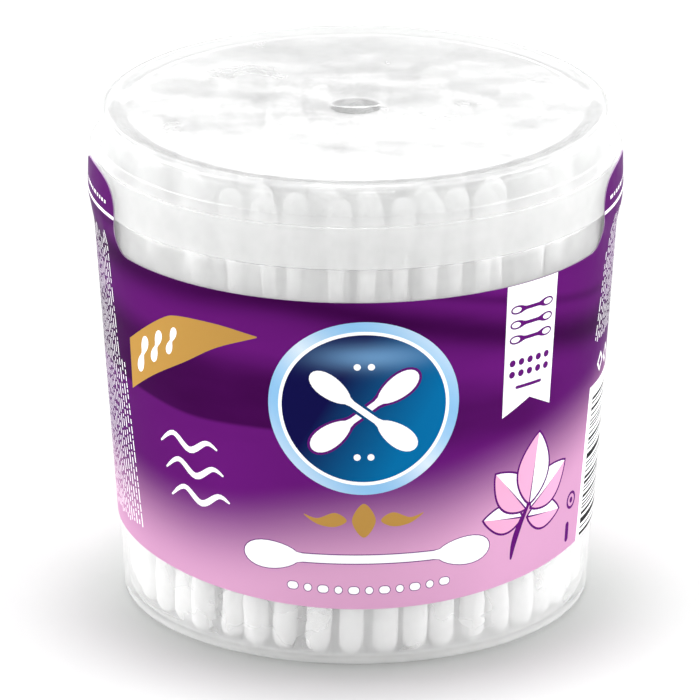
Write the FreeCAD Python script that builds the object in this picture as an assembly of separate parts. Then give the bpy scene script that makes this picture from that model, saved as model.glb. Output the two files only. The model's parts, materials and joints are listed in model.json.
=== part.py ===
import FreeCAD, Part
import math
import os

os.makedirs("parts", exist_ok=True)

V = FreeCAD.Vector
ORIGIN = V(0, 0, 0)
UP = V(0, 0, 1)

# ---------------------------------------------------------------------------
# Driving dimensions, in millimetres.
# Origin at the centre of the base, on the surface the tub stands on. +Z is up,
# and the front of the wrap looks along -Y.
# ---------------------------------------------------------------------------
HEIGHT = 80.0            # surface to the lid's raised rim

# Moulded tub: wall on a straight draft, radius at two heights
WALL_Z_LOW, WALL_R_LOW = 4.0, 37.0
WALL_Z_HIGH, WALL_R_HIGH = 67.0, 41.2
WALL_T = 0.8
FLOOR_TOP = 1.1
FLOOR_T = 0.8
FOOT_R_IN = 33.9         # inner radius of the standing ring
CORNER_R_OUT = 1.3
CORNER_R_IN = 1.0
SHOULDER_Z = 66.9        # ledge under the lid's lower edge
NECK_R_OUT = 40.65
NECK_R_IN = 39.85
RIM_Z = 73.2             # top of the neck, inside the lid
BEAD_Z = 70.6            # guide bead round the neck
BEAD_R = 40.82

# Moulded lid
LID_T = 0.8
LID_BOTTOM_Z = 67.2
LID_SKIRT_R = 41.8       # lower skirt, outside
LID_SKIRT_R_TOP = 41.68
LID_LEDGE_Z = 73.85      # top of the lower skirt
LID_SLOPE_TOP_Z = 75.2
LID_UPPER_R = 40.3       # upper skirt, outside, at its foot
LID_CORNER_R = 1.0
LID_TOP_R = 39.35        # widest point of the top corner
LID_PANEL_Z = 79.55      # flat panel inside the raised rim
LID_RIM_R_IN = 36.6
GATE_R = 4.0             # shallow moulding dimple at the lid's centre
GATE_DEPTH = 0.35

# Film wrap and its two seal tabs
FILM_T = 0.15
FILM_GAP = 0.01
WRAP_TURN_DEG = 1.9      # the wrap sits turned this much to the right
WRAP_TOP_Z = 61.55
WRAP_BOTTOM_Z = 9.9      # at the front and the back
WRAP_RISE = 3.3          # the lower edge is this much higher at the sides
TAB_ROOT_TOP_Z = 66.6    # end of the wrap's part of each tab
SEAL_BOTTOM_Z = 67.35    # start of the lid's part of each tab
TAB_TOP_Z = 73.5
TONGUE_DEG = 78.0        # middle of each tongue, turned from the middle of the front
SEAM_START_DEG, SEAM_END_DEG = 178.0, 186.0   # overlapped end, at the back

# Swabs
SWAB_L = 75.5
STICK_R = 1.15
TIP_R = 2.1
TIP_L = 13.5
TIP_END_H = 2.2          # height of the rounded end
TIP_BARREL_L = 8.4       # end of the full-width barrel
TIP_LIP_R = 1.28         # cotton thinned out on the stick
STICK_INSET = 1.3        # stick ends this far inside the rounded end

# Each swab: x, y of its lower end, then x, y of its upper end
SWABS = [
    (32.20, 1.23, 31.66, 7.94), (33.03, 7.13, 36.49, 0.43),
    (31.65, 11.31, 36.18, 4.79), (29.56, 15.59, 32.54, 15.16),
    (26.50, 20.39, 25.91, 24.85), (23.71, 24.00, 21.87, 28.02),
    (19.86, 27.34, 16.92, 32.34), (15.18, 29.53, 17.58, 27.21),
    (11.35, 31.82, 10.49, 34.96), (5.64, 32.77, 6.95, 32.38),
    (0.76, 33.71, 2.06, 34.24), (-4.40, 33.51, -7.23, 35.77),
    (-8.96, 32.16, -6.65, 31.06), (-13.98, 30.40, -16.31, 31.98),
    (-17.93, 28.57, -22.99, 28.35), (-21.84, 25.06, -18.08, 26.77),
    (-25.63, 21.94, -25.67, 22.75), (-28.66, 17.39, -29.81, 20.00),
    (-30.70, 13.53, -32.06, 16.16), (-32.74, 8.14, -32.90, 11.08),
    (-33.29, 3.38, -32.26, -1.57), (-33.69, -1.76, -36.47, 1.42),
    (-32.85, -6.41, -35.70, -4.26), (-31.74, -11.25, -32.88, -9.75),
    (-29.28, -16.06, -31.92, -16.43), (-26.55, -20.37, -25.15, -22.63),
    (-23.75, -23.99, -24.49, -26.97), (-19.23, -26.93, -14.41, -28.92),
    (-15.20, -30.18, -19.32, -30.57), (-11.06, -31.54, -9.12, -32.98),
    (-5.93, -33.14, -2.35, -35.82), (-0.83, -33.59, 2.49, -35.81),
    (4.42, -33.15, 7.36, -35.14), (9.06, -32.31, 11.85, -33.89),
    (13.19, -30.66, 15.64, -30.45), (18.04, -28.46, 19.96, -29.84),
    (22.08, -25.21, 21.21, -25.66), (25.63, -21.77, 28.51, -21.81),
    (28.63, -17.17, 31.28, -17.61), (30.83, -13.39, 31.82, -12.82),
    (32.01, -8.59, 32.19, -3.59), (33.59, -3.66, 35.49, -7.58),
    (23.82, -2.51, 20.45, 7.89), (27.03, 7.97, 29.29, 19.40),
    (25.66, 12.84, 24.58, 19.02), (21.22, 19.75, 21.06, 12.20),
    (16.49, 23.52, 14.09, 14.14), (8.35, 23.34, 12.17, 29.35),
    (4.70, 27.46, -0.58, 15.94), (-2.35, 28.43, -2.45, 35.02),
    (-8.80, 26.81, -5.53, 20.36), (-15.04, 24.75, -10.94, 30.24),
    (-20.04, 19.99, -21.28, 23.24), (-23.77, 14.43, -25.78, 18.34),
    (-26.35, 9.32, -27.99, 14.58), (-27.87, 5.24, -31.65, 3.12),
    (-27.20, -4.68, -26.25, -12.94), (-26.45, -9.61, -21.53, -13.27),
    (-23.13, -15.73, -20.41, -17.66), (-18.41, -20.86, -16.16, -18.69),
    (-13.66, -24.25, -4.84, -24.59), (-9.24, -26.75, -14.21, -33.61),
    (-1.15, -28.04, 2.02, -31.48), (7.29, -26.83, 10.81, -29.65),
    (12.68, -25.31, 0.96, -17.86), (9.40, -18.15, 15.30, -17.61),
    (22.78, -17.54, 27.29, -7.48), (25.20, -12.12, 26.41, -2.06),
    (28.06, -5.48, 17.55, 2.87), (21.07, 5.37, 16.90, 10.77),
    (17.85, 11.93, 28.52, 13.48), (10.69, 16.95, 12.86, 23.06),
    (5.37, 20.14, 5.77, 9.99), (-3.32, 21.39, -11.36, 19.93),
    (-11.86, 17.10, 2.04, 12.24), (-15.53, 12.92, -21.45, 18.89),
    (-18.56, 7.08, -23.38, 14.70), (-21.21, -0.39, -23.39, -8.97),
    (-19.28, -6.90, -9.60, -13.07), (-14.88, -14.87, -17.35, -14.49),
    (-8.91, -18.66, -9.64, -17.43), (-1.46, -20.21, -3.73, -30.35),
    (6.35, -21.36, 4.13, -13.85), (11.74, -11.97, 9.83, -18.14),
    (16.52, -10.10, 22.20, -0.67), (19.46, -2.27, 14.05, -0.32),
    (13.08, 0.95, 12.56, 10.06), (9.52, 8.93, 8.71, 6.76),
    (1.72, 13.05, 5.61, 3.48), (-4.45, 12.32, -18.19, 15.38),
    (-11.81, 6.44, -10.84, 15.61), (-12.61, 0.01, -9.79, -8.71),
    (-9.29, -8.14, -5.68, -15.41), (-3.26, -12.92, -1.62, -21.65),
    (5.50, -12.68, 13.84, -12.77), (11.08, -6.51, 9.89, -1.79),
    (4.16, 3.31, 9.95, 2.57), (-2.70, 3.75, -9.67, 8.87),
    (-4.32, -3.19, -5.39, 2.25), (3.06, -4.70, 1.88, 1.23),
]


def wall_r(z):
    """Outer radius of the tub's wall."""
    return WALL_R_LOW + (z - WALL_Z_LOW) * (WALL_R_HIGH - WALL_R_LOW) / (
        WALL_Z_HIGH - WALL_Z_LOW
    )


SLOPE = math.atan((WALL_R_HIGH - WALL_R_LOW) / (WALL_Z_HIGH - WALL_Z_LOW))


def inner_r(z):
    """Inner radius of the tub's wall."""
    return wall_r(z) - WALL_T / math.cos(SLOPE)


def p(r, z):
    return V(r, 0, z)


def line(a, b):
    return Part.makeLine(p(*a), p(*b))


def arc(a, m, b):
    return Part.Arc(p(*a), p(*m), p(*b)).toShape()


def lathe(edges):
    """A closed outline in the XZ plane turned about Z."""
    face = Part.Face(Part.Wire(edges))
    solid = face.revolve(ORIGIN, UP, 360)
    if solid.ShapeType != "Solid":
        solid = Part.Solid(solid.Shells[0])
    if solid.Volume < 0:
        solid.reverse()
    return solid


def corner(radius, wall, floor_z):
    """Arc between a level floor and the drafted wall: start, middle, end."""
    base = wall(0.0)
    cz = floor_z + radius
    cr = base + math.tan(SLOPE) * cz - radius / math.cos(SLOPE)
    end = -SLOPE
    mid = (-math.pi / 2 + end) / 2
    return (
        (cr, floor_z),
        (cr + radius * math.cos(mid), cz + radius * math.sin(mid)),
        (cr + radius * math.cos(end), cz + radius * math.sin(end)),
    )


# ---------------------------------------------------------------------------
# Tub: base with a standing ring, drafted wall, ledge and neck, in one piece
# ---------------------------------------------------------------------------
def make_tub():
    o1, o2, o3 = corner(CORNER_R_OUT, wall_r, 0.0)
    i1, i2, i3 = corner(CORNER_R_IN, inner_r, FLOOR_TOP)
    under = FLOOR_TOP - FLOOR_T
    edges = [
        line((0, under), (FOOT_R_IN - 0.7, under)),
        line((FOOT_R_IN - 0.7, under), (FOOT_R_IN, 0.0)),
        line((FOOT_R_IN, 0.0), o1),
        arc(o1, o2, o3),
        line(o3, (wall_r(SHOULDER_Z - 0.3), SHOULDER_Z - 0.3)),
        line((wall_r(SHOULDER_Z - 0.3), SHOULDER_Z - 0.3), (wall_r(SHOULDER_Z) - 0.2, SHOULDER_Z)),
        line((wall_r(SHOULDER_Z) - 0.2, SHOULDER_Z), (NECK_R_OUT, SHOULDER_Z)),
        line((NECK_R_OUT, SHOULDER_Z), (NECK_R_OUT, BEAD_Z - 0.5)),
        arc((NECK_R_OUT, BEAD_Z - 0.5), (BEAD_R, BEAD_Z), (NECK_R_OUT, BEAD_Z + 0.5)),
        line((NECK_R_OUT, BEAD_Z + 0.5), (NECK_R_OUT, RIM_Z - 0.4)),
        arc(
            (NECK_R_OUT, RIM_Z - 0.4),
            ((NECK_R_OUT + NECK_R_IN) / 2, RIM_Z),
            (NECK_R_IN, RIM_Z - 0.4),
        ),
        line((NECK_R_IN, RIM_Z - 0.4), (NECK_R_IN, SHOULDER_Z + 0.1)),
        line((NECK_R_IN, SHOULDER_Z + 0.1), (inner_r(SHOULDER_Z - 1.2), SHOULDER_Z - 1.2)),
        line((inner_r(SHOULDER_Z - 1.2), SHOULDER_Z - 1.2), i3),
        arc(i3, i2, i1),
        line(i1, (0, FLOOR_TOP)),
        line((0, FLOOR_TOP), (0, under)),
    ]
    return lathe(edges)


# ---------------------------------------------------------------------------
# Lid: panel with a raised rim and a gate dimple, upper skirt, sloped shoulder
# and a wider lower skirt, in one piece
# ---------------------------------------------------------------------------
def make_lid():
    t = LID_T
    c = LID_CORNER_R
    dimple_z = LID_PANEL_Z - GATE_DEPTH
    rim_in, rim_out = LID_RIM_R_IN, LID_TOP_R - c
    top_corner = (LID_TOP_R, HEIGHT - c)
    corner_mid = (LID_TOP_R - c + c * math.cos(math.pi / 4), HEIGHT - c + c * math.sin(math.pi / 4))
    ledge_in = LID_SKIRT_R_TOP - 0.35
    edges = [
        line((0, LID_PANEL_Z - t), (0, dimple_z)),
        arc((0, dimple_z), (GATE_R * 0.55, dimple_z + GATE_DEPTH * 0.30), (GATE_R, LID_PANEL_Z)),
        line((GATE_R, LID_PANEL_Z), (rim_in, LID_PANEL_Z)),
        line((rim_in, LID_PANEL_Z), (rim_in + 0.5, HEIGHT)),
        line((rim_in + 0.5, HEIGHT), (rim_out, HEIGHT)),
        arc((rim_out, HEIGHT), corner_mid, top_corner),
        line(top_corner, (LID_UPPER_R, LID_SLOPE_TOP_Z)),
        line((LID_UPPER_R, LID_SLOPE_TOP_Z), (ledge_in, LID_LEDGE_Z + 0.18)),
        line((ledge_in, LID_LEDGE_Z + 0.18), (ledge_in, LID_LEDGE_Z)),
        arc(
            (ledge_in, LID_LEDGE_Z),
            (LID_SKIRT_R_TOP - 0.1, LID_LEDGE_Z - 0.1),
            (LID_SKIRT_R_TOP, LID_LEDGE_Z - 0.35),
        ),
        line((LID_SKIRT_R_TOP, LID_LEDGE_Z - 0.35), (LID_SKIRT_R, LID_BOTTOM_Z + 0.2)),
        line((LID_SKIRT_R, LID_BOTTOM_Z + 0.2), (LID_SKIRT_R - 0.15, LID_BOTTOM_Z)),
        line((LID_SKIRT_R - 0.15, LID_BOTTOM_Z), (LID_SKIRT_R - t, LID_BOTTOM_Z)),
        line((LID_SKIRT_R - t, LID_BOTTOM_Z), (LID_SKIRT_R_TOP - t, LID_LEDGE_Z - 0.35)),
        line((LID_SKIRT_R_TOP - t, LID_LEDGE_Z - 0.35), (LID_UPPER_R - t, LID_SLOPE_TOP_Z - 0.4)),
        line((LID_UPPER_R - t, LID_SLOPE_TOP_Z - 0.4), (LID_TOP_R - t, HEIGHT - c - 0.6)),
        arc(
            (LID_TOP_R - t, HEIGHT - c - 0.6),
            (LID_TOP_R - t - 0.22, LID_PANEL_Z - t - 0.22),
            (LID_TOP_R - t - 0.85, LID_PANEL_Z - t),
        ),
        line((LID_TOP_R - t - 0.85, LID_PANEL_Z - t), (0, LID_PANEL_Z - t)),
    ]
    return lathe(edges)


# ---------------------------------------------------------------------------
# Film wrap. Its lower edge is cut to a long curve, lowest at the front and the
# back. Two tongues rise at the sides and carry on, past a tear line at the
# lid's lower edge, as the seal tabs stuck to the lid.
# ---------------------------------------------------------------------------
def tongue_face():
    """Outline of one tongue in the YZ plane, from under the wrap's top edge up, before it is turned."""
    side = [
        (12.6, 61.40), (10.2, 61.85), (9.2, 62.7), (8.85, 64.0), (9.0, 65.6),
        (9.35, 67.3), (9.25, 69.2), (8.5, 71.0), (7.0, 72.35), (4.8, 73.1), (2.4, 73.42),
    ]
    points = [V(0, -y, z) for y, z in side] + [V(0, 0, TAB_TOP_Z)]
    points += [V(0, y, z) for y, z in reversed(side)]
    curve = Part.BSplineCurve()
    curve.interpolate(points)
    low = 40.0
    start = side[0]
    ends = [V(0, start[0], start[1]), V(0, start[0], low), V(0, -start[0], low), V(0, -start[0], start[1])]
    edges = [curve.toShape()] + [Part.makeLine(a, b) for a, b in zip(ends, ends[1:])]
    return Part.Face(Part.Wire(Part.__sortEdges__(edges)))


def tongue(side):
    """The space of one tongue, across the wall on one side."""
    face = tongue_face()
    face.translate(V(20 * side, 0, 0))
    out = face.extrude(V(60 * side, 0, 0))
    out.rotate(ORIGIN, UP, -side * (90.0 - TONGUE_DEG))
    return out


def cone_shell(r_of, z0, z1, gap, t):
    """A thin shell lying on a drafted wall."""
    return lathe([
        line((r_of(z0) + gap, z0), (r_of(z0) + gap + t, z0)),
        line((r_of(z0) + gap + t, z0), (r_of(z1) + gap + t, z1)),
        line((r_of(z1) + gap + t, z1), (r_of(z1) + gap, z1)),
        line((r_of(z1) + gap, z1), (r_of(z0) + gap, z0)),
    ])


def lower_cut():
    """Everything below the wrap's curved lower edge."""
    half = wall_r(WRAP_BOTTOM_Z)
    radius = (half * half + WRAP_RISE * WRAP_RISE) / (2 * WRAP_RISE)
    cylinder = Part.makeCylinder(radius, 200, V(0, -100, WRAP_BOTTOM_Z + radius), V(0, 1, 0))
    block = Part.makeBox(200, 200, 60, V(-100, -100, -40))
    return block.cut(cylinder)


def make_wrap():
    shell = cone_shell(wall_r, 5.0, TAB_ROOT_TOP_Z, FILM_GAP, FILM_T)
    lap = cone_shell(wall_r, 5.0, WRAP_TOP_Z, FILM_GAP + FILM_T, FILM_T)
    a0, a1 = math.radians(SEAM_START_DEG), math.radians(SEAM_END_DEG)
    # front is -Y, and the angle runs towards +X
    wedge = Part.Face(Part.makePolygon([
        V(0, 0, 0),
        V(60 * math.sin(a0), -60 * math.cos(a0), 0),
        V(60 * math.sin(a1), -60 * math.cos(a1), 0),
        V(0, 0, 0),
    ])).extrude(V(0, 0, 80))
    lap = lap.common(wedge)
    shell = shell.fuse(lap)
    body = Part.makeCylinder(60, WRAP_TOP_Z)
    wrap = shell.common(body).cut(lower_cut())
    for side in (-1, 1):
        wrap = wrap.fuse(shell.common(tongue(side)))
    return one_solid(wrap.removeSplitter())


def make_seal(side):
    def skirt(z):
        low, high = LID_BOTTOM_Z + 0.2, LID_LEDGE_Z - 0.35
        return LID_SKIRT_R + (z - low) * (LID_SKIRT_R_TOP - LID_SKIRT_R) / (high - low)

    shell = cone_shell(skirt, SEAL_BOTTOM_Z, TAB_TOP_Z, FILM_GAP, FILM_T)
    high = LID_LEDGE_Z - 0.35
    if TAB_TOP_Z > high:
        shell = cone_shell(skirt, SEAL_BOTTOM_Z, high, FILM_GAP, FILM_T)
    return one_solid(shell.common(tongue(side)).removeSplitter())


def one_solid(shape):
    solids = sorted(shape.Solids, key=lambda s: -s.Volume)
    print("  solids", [round(s.Volume, 2) for s in solids])
    return solids[0]


def turned(shape):
    out = shape.copy()
    out.rotate(ORIGIN, UP, WRAP_TURN_DEG)
    return out


# ---------------------------------------------------------------------------
# Swabs: a paper stick with a wound cotton tip at each end
# ---------------------------------------------------------------------------
def make_tip():
    """Cotton tip, its rounded end at the origin and its open end up."""
    k = math.sqrt(0.5)
    return lathe([
        arc((0, 0), (TIP_R * k, TIP_END_H * (1 - k)), (TIP_R, TIP_END_H)),
        line((TIP_R, TIP_END_H), (TIP_R, TIP_BARREL_L)),
        line((TIP_R, TIP_BARREL_L), (TIP_LIP_R, TIP_L)),
        line((TIP_LIP_R, TIP_L), (STICK_R, TIP_L)),
        line((STICK_R, TIP_L), (STICK_R, STICK_INSET)),
        line((STICK_R, STICK_INSET), (0, STICK_INSET)),
        line((0, STICK_INSET), (0, 0)),
    ])


def swab_pose(x0, y0, x1, y1):
    """Placement of a swab that stands on the floor at x0, y0 and leans to x1, y1."""
    dx, dy = x1 - x0, y1 - y0
    dz = math.sqrt(SWAB_L ** 2 - dx * dx - dy * dy)
    way = V(dx, dy, dz)
    way.normalize()
    lift = 0.02 + TIP_END_H * (1 - way.z)
    turn = FreeCAD.Rotation(UP, way)
    return FreeCAD.Placement(V(x0, y0, FLOOR_TOP + lift), turn)


def make_swabs():
    stick = Part.makeCylinder(STICK_R, SWAB_L - 2 * STICK_INSET, V(0, 0, STICK_INSET))
    low = make_tip()
    high = make_tip()
    high.rotate(ORIGIN, V(1, 0, 0), 180)
    high.translate(V(0, 0, SWAB_L))
    sticks, tips = [], []
    for row in SWABS:
        place = swab_pose(*row)
        for source, group in ((stick, sticks), (low, tips), (high, tips)):
            piece = source.copy()
            piece.Placement = place.multiply(piece.Placement)
            group.append(piece)
    return Part.makeCompound(sticks), Part.makeCompound(tips)


sticks, tips = make_swabs()
nodes = {
    "tub": make_tub(),
    "lid": make_lid(),
    "label_wrap": turned(make_wrap()),
    "seal_tab_left": turned(make_seal(-1)),
    "seal_tab_right": turned(make_seal(1)),
    "swab_sticks": sticks,
    "cotton_tips": tips,
}
for name, shape in nodes.items():
    box = shape.BoundBox
    print(
        name, shape.ShapeType, "solids", len(shape.Solids), "valid", shape.isValid(),
        "volume %.1f mm3" % shape.Volume,
        "box %.2f %.2f %.2f to %.2f %.2f %.2f"
        % (box.XMin, box.YMin, box.ZMin, box.XMax, box.YMax, box.ZMax),
    )
    shape.exportStep("parts/%s.step" % name)
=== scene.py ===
import json
import math
import random

import bpy
import numpy as np
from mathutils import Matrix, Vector, geometry, noise

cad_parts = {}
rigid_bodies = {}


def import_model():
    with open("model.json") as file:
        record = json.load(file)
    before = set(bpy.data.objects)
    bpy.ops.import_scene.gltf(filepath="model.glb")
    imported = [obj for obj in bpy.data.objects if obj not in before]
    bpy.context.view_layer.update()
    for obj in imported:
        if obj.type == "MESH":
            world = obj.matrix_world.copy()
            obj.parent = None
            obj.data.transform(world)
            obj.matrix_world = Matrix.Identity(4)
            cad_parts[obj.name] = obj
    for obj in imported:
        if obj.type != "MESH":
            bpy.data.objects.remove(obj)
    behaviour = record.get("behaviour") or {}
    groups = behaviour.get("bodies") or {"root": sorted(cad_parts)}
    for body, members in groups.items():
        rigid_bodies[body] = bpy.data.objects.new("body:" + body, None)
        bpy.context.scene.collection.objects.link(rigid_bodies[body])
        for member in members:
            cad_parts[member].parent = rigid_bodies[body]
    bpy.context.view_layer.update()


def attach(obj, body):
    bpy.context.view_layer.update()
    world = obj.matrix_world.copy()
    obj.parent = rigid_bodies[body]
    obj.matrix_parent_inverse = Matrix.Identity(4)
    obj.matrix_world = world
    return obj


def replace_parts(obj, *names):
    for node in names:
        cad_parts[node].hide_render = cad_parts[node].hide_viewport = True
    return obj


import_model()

MM = 0.001
random.seed(7)

# ---------------------------------------------------------------------------
# Sizes in millimetres, the same as in the construction model
# ---------------------------------------------------------------------------
HEIGHT = 80.0
WALL_T = 0.8
FLOOR_TOP, FLOOR_T = 1.1, 0.8
FOOT_R_IN = 33.9
SHOULDER_Z, RIM_Z = 66.9, 73.2
NECK_R_OUT, NECK_R_IN = 40.65, 39.85
BEAD_Z, BEAD_R = 70.6, 40.82
LID_T = 0.8
LID_BOTTOM_Z, LID_SKIRT_R, LID_SKIRT_R_TOP = 67.2, 41.8, 41.68
LID_LEDGE_Z, LID_SLOPE_TOP_Z = 73.85, 75.2
LID_UPPER_R, LID_CORNER_R, LID_TOP_R = 40.3, 1.0, 39.7
LID_PANEL_Z, LID_RIM_R_IN = 79.55, 36.6
GATE_R, GATE_DEPTH = 4.0, 0.35
FILM_T, FILM_GAP = 0.15, 0.01
WRAP_TURN = math.radians(1.9)
WRAP_TOP_Z, WRAP_BOTTOM_Z, WRAP_RISE = 61.55, 9.9, 3.3
TAB_TOP_Z = 73.5
TONGUE_AT = math.radians(78.0)      # middle of each tongue, turned from the middle of the front
SWAB_L, STICK_R, TIP_R, TIP_L, TIP_END_H = 75.5, 1.15, 2.1, 13.5, 2.2
STICK_INSET = 1.3

# x, y of each swab's lower end, then x, y of its upper end
SWABS = [
    (32.20, 1.23, 31.66, 7.94), (33.03, 7.13, 36.49, 0.43),
    (31.65, 11.31, 36.18, 4.79), (29.56, 15.59, 32.54, 15.16),
    (26.50, 20.39, 25.91, 24.85), (23.71, 24.00, 21.87, 28.02),
    (19.86, 27.34, 16.92, 32.34), (15.18, 29.53, 17.58, 27.21),
    (11.35, 31.82, 10.49, 34.96), (5.64, 32.77, 6.95, 32.38),
    (0.76, 33.71, 2.06, 34.24), (-4.40, 33.51, -7.23, 35.77),
    (-8.96, 32.16, -6.65, 31.06), (-13.98, 30.40, -16.31, 31.98),
    (-17.93, 28.57, -22.99, 28.35), (-21.84, 25.06, -18.08, 26.77),
    (-25.63, 21.94, -25.67, 22.75), (-28.66, 17.39, -29.81, 20.00),
    (-30.70, 13.53, -32.06, 16.16), (-32.74, 8.14, -32.90, 11.08),
    (-33.29, 3.38, -32.26, -1.57), (-33.69, -1.76, -36.47, 1.42),
    (-32.85, -6.41, -35.70, -4.26), (-31.74, -11.25, -32.88, -9.75),
    (-29.28, -16.06, -31.92, -16.43), (-26.55, -20.37, -25.15, -22.63),
    (-23.75, -23.99, -24.49, -26.97), (-19.23, -26.93, -14.41, -28.92),
    (-15.20, -30.18, -19.32, -30.57), (-11.06, -31.54, -9.12, -32.98),
    (-5.93, -33.14, -2.35, -35.82), (-0.83, -33.59, 2.49, -35.81),
    (4.42, -33.15, 7.36, -35.14), (9.06, -32.31, 11.85, -33.89),
    (13.19, -30.66, 15.64, -30.45), (18.04, -28.46, 19.96, -29.84),
    (22.08, -25.21, 21.21, -25.66), (25.63, -21.77, 28.51, -21.81),
    (28.63, -17.17, 31.28, -17.61), (30.83, -13.39, 31.82, -12.82),
    (32.01, -8.59, 32.19, -3.59), (33.59, -3.66, 35.49, -7.58),
    (23.82, -2.51, 20.45, 7.89), (27.03, 7.97, 29.29, 19.40),
    (25.66, 12.84, 24.58, 19.02), (21.22, 19.75, 21.06, 12.20),
    (16.49, 23.52, 14.09, 14.14), (8.35, 23.34, 12.17, 29.35),
    (4.70, 27.46, -0.58, 15.94), (-2.35, 28.43, -2.45, 35.02),
    (-8.80, 26.81, -5.53, 20.36), (-15.04, 24.75, -10.94, 30.24),
    (-20.04, 19.99, -21.28, 23.24), (-23.77, 14.43, -25.78, 18.34),
    (-26.35, 9.32, -27.99, 14.58), (-27.87, 5.24, -31.65, 3.12),
    (-27.20, -4.68, -26.25, -12.94), (-26.45, -9.61, -21.53, -13.27),
    (-23.13, -15.73, -20.41, -17.66), (-18.41, -20.86, -16.16, -18.69),
    (-13.66, -24.25, -4.84, -24.59), (-9.24, -26.75, -14.21, -33.61),
    (-1.15, -28.04, 2.02, -31.48), (7.29, -26.83, 10.81, -29.65),
    (12.68, -25.31, 0.96, -17.86), (9.40, -18.15, 15.30, -17.61),
    (22.78, -17.54, 27.29, -7.48), (25.20, -12.12, 26.41, -2.06),
    (28.06, -5.48, 17.55, 2.87), (21.07, 5.37, 16.90, 10.77),
    (17.85, 11.93, 28.52, 13.48), (10.69, 16.95, 12.86, 23.06),
    (5.37, 20.14, 5.77, 9.99), (-3.32, 21.39, -11.36, 19.93),
    (-11.86, 17.10, 2.04, 12.24), (-15.53, 12.92, -21.45, 18.89),
    (-18.56, 7.08, -23.38, 14.70), (-21.21, -0.39, -23.39, -8.97),
    (-19.28, -6.90, -9.60, -13.07), (-14.88, -14.87, -17.35, -14.49),
    (-8.91, -18.66, -9.64, -17.43), (-1.46, -20.21, -3.73, -30.35),
    (6.35, -21.36, 4.13, -13.85), (11.74, -11.97, 9.83, -18.14),
    (16.52, -10.10, 22.20, -0.67), (19.46, -2.27, 14.05, -0.32),
    (13.08, 0.95, 12.56, 10.06), (9.52, 8.93, 8.71, 6.76),
    (1.72, 13.05, 5.61, 3.48), (-4.45, 12.32, -18.19, 15.38),
    (-11.81, 6.44, -10.84, 15.61), (-12.61, 0.01, -9.79, -8.71),
    (-9.29, -8.14, -5.68, -15.41), (-3.26, -12.92, -1.62, -21.65),
    (5.50, -12.68, 13.84, -12.77), (11.08, -6.51, 9.89, -1.79),
    (4.16, 3.31, 9.95, 2.57), (-2.70, 3.75, -9.67, 8.87),
    (-4.32, -3.19, -5.39, 2.25), (3.06, -4.70, 1.88, 1.23),
]


def wall_r(z):
    return 37.0 + (z - 4.0) * 4.2 / 63.0


SLOPE = math.atan(4.2 / 63.0)


def inner_r(z):
    return wall_r(z) - WALL_T / math.cos(SLOPE)


def skirt_r(z):
    return LID_SKIRT_R + (z - 67.4) * (LID_SKIRT_R_TOP - LID_SKIRT_R) / 6.1


def srgb(r, g, b):
    def one(c):
        c /= 255.0
        return c / 12.92 if c <= 0.04045 else ((c + 0.055) / 1.055) ** 2.4

    return (one(r), one(g), one(b), 1.0)


# ---------------------------------------------------------------------------
# Node helpers
# ---------------------------------------------------------------------------
class Nodes:
    """Adds shader nodes to one material."""

    def __init__(self, name):
        self.mat = bpy.data.materials.new(name)
        self.mat.use_nodes = True
        self.tree = self.mat.node_tree
        self.tree.nodes.clear()
        self.out = self.tree.nodes.new("ShaderNodeOutputMaterial")

    def add(self, kind, inputs=(), **props):
        n = self.tree.nodes.new(kind)
        for k, v in props.items():
            setattr(n, k, v)
        for k, v in dict(inputs).items():
            self.put(n.inputs[k], v)
        return n

    def put(self, socket, value):
        if isinstance(value, bpy.types.NodeSocket):
            self.tree.links.new(value, socket)
        else:
            socket.default_value = value

    def maths(self, operation, a, b=0.0, clamp=False):
        n = self.add("ShaderNodeMath", operation=operation, use_clamp=clamp)
        self.put(n.inputs[0], a)
        self.put(n.inputs[1], b)
        return n.outputs[0]

    def fold(self, z, centre, width, depth):
        """depth * exp(-((z - centre) / width) ** 2)"""
        d = self.maths("DIVIDE", self.maths("SUBTRACT", z, centre), width)
        return self.maths("MULTIPLY", self.maths("EXPONENT", self.maths("MULTIPLY", self.maths("MULTIPLY", d, d), -1.0)), depth)

    def mix(self, fac, a, b):
        n = self.add("ShaderNodeMix", data_type="RGBA", blend_type="MIX")
        self.put(n.inputs[0], fac)
        self.put(n.inputs[6], a)
        self.put(n.inputs[7], b)
        return n.outputs[2]

    def coords(self):
        return self.add("ShaderNodeTexCoord").outputs["Object"]

    def noise(self, scale, detail=2.0, rough=0.5, vector=None, stretch=None):
        v = vector or self.coords()
        if stretch:
            v = self.add("ShaderNodeMapping", {"Vector": v, "Scale": stretch}).outputs[0]
        return self.add(
            "ShaderNodeTexNoise",
            {"Vector": v, "Scale": scale, "Detail": detail, "Roughness": rough},
        ).outputs[0]

    def bump(self, height, strength, distance, normal=None):
        n = self.add("ShaderNodeBump", {"Height": height, "Strength": strength, "Distance": distance})
        if normal is not None:
            self.put(n.inputs["Normal"], normal)
        return n.outputs[0]

    def span(self, value, a, b, c, d):
        return self.add(
            "ShaderNodeMapRange",
            {"Value": value, "From Min": a, "From Max": b, "To Min": c, "To Max": d},
        ).outputs[0]

    def ramp(self, value, a, b, c, d):
        """Like span, with soft ends."""
        return self.add(
            "ShaderNodeMapRange",
            {"Value": value, "From Min": a, "From Max": b, "To Min": c, "To Max": d},
            interpolation_type="SMOOTHSTEP",
        ).outputs[0]


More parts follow.
